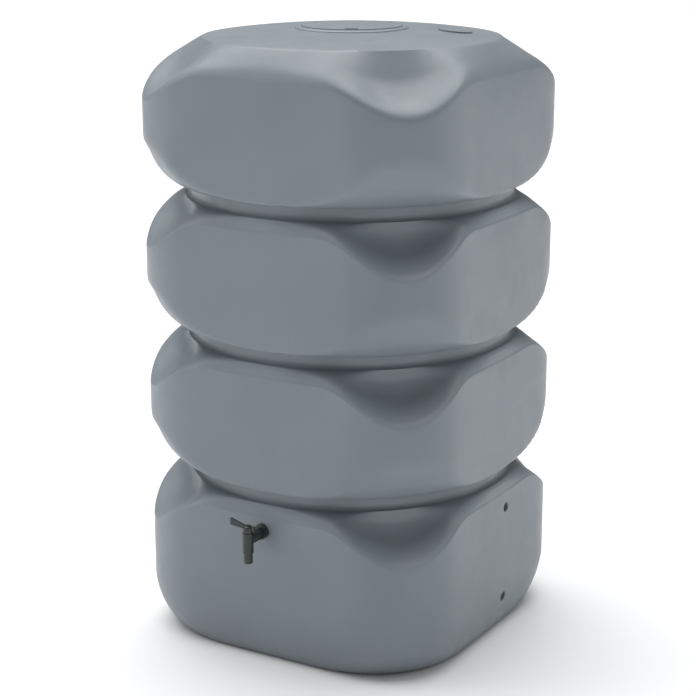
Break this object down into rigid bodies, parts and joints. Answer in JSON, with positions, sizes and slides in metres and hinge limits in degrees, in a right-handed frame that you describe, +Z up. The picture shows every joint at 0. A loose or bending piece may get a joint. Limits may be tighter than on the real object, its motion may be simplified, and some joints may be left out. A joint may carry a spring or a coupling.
{
  "type": "rainwater_tank",
  "caption": "Free-standing rainwater tank, a hollow moulding of stacked lobed tiers with round waists, a round lift-off lid, a lever tap low on one side and linking ports on the next side",
  "frame": {"origin": "centre of the flat base, on the floor", "axes": "+Z up, -Y the side with the tap, +X the side with the linking ports"},
  "size_m": [0.7, 0.763, 1.2518],
  "materials": {
    "tank_plastic": "satin grey moulded polyethylene, fine grain",
    "tap_plastic": "dark green-black moulded plastic",
    "plug_plastic": "off-white moulded plastic",
    "seal_rubber": "matt black rubber"
  },
  "bodies": {
    "tank": {"tank_shell": "tank_plastic", "tap_body": "tap_plastic", "tap_spout": "tap_plastic", "spout_seal": "seal_rubber", "tap_washer": "seal_rubber", "slip_washer": "plug_plastic", "back_nut": "tap_plastic"},
    "lid": {"lid": "tank_plastic", "lid_seal": "seal_rubber"},
    "lever": {"tap_lever": "tap_plastic", "tap_plug": "plug_plastic", "plug_seal_upper": "seal_rubber", "plug_seal_lower": "seal_rubber"}
  },
  "joints": [
    {"name": "lid_lift", "type": "slide", "parent": "tank", "child": "lid", "axis": [0, 0, 1], "range_m": [0, 0.15]},
    {"name": "tap_turn", "type": "hinge", "parent": "tank", "child": "lever", "pos_m": [0, -0.402, 0.281], "axis": [0, 0, 1], "range_deg": [0, 90]}
  ]
}
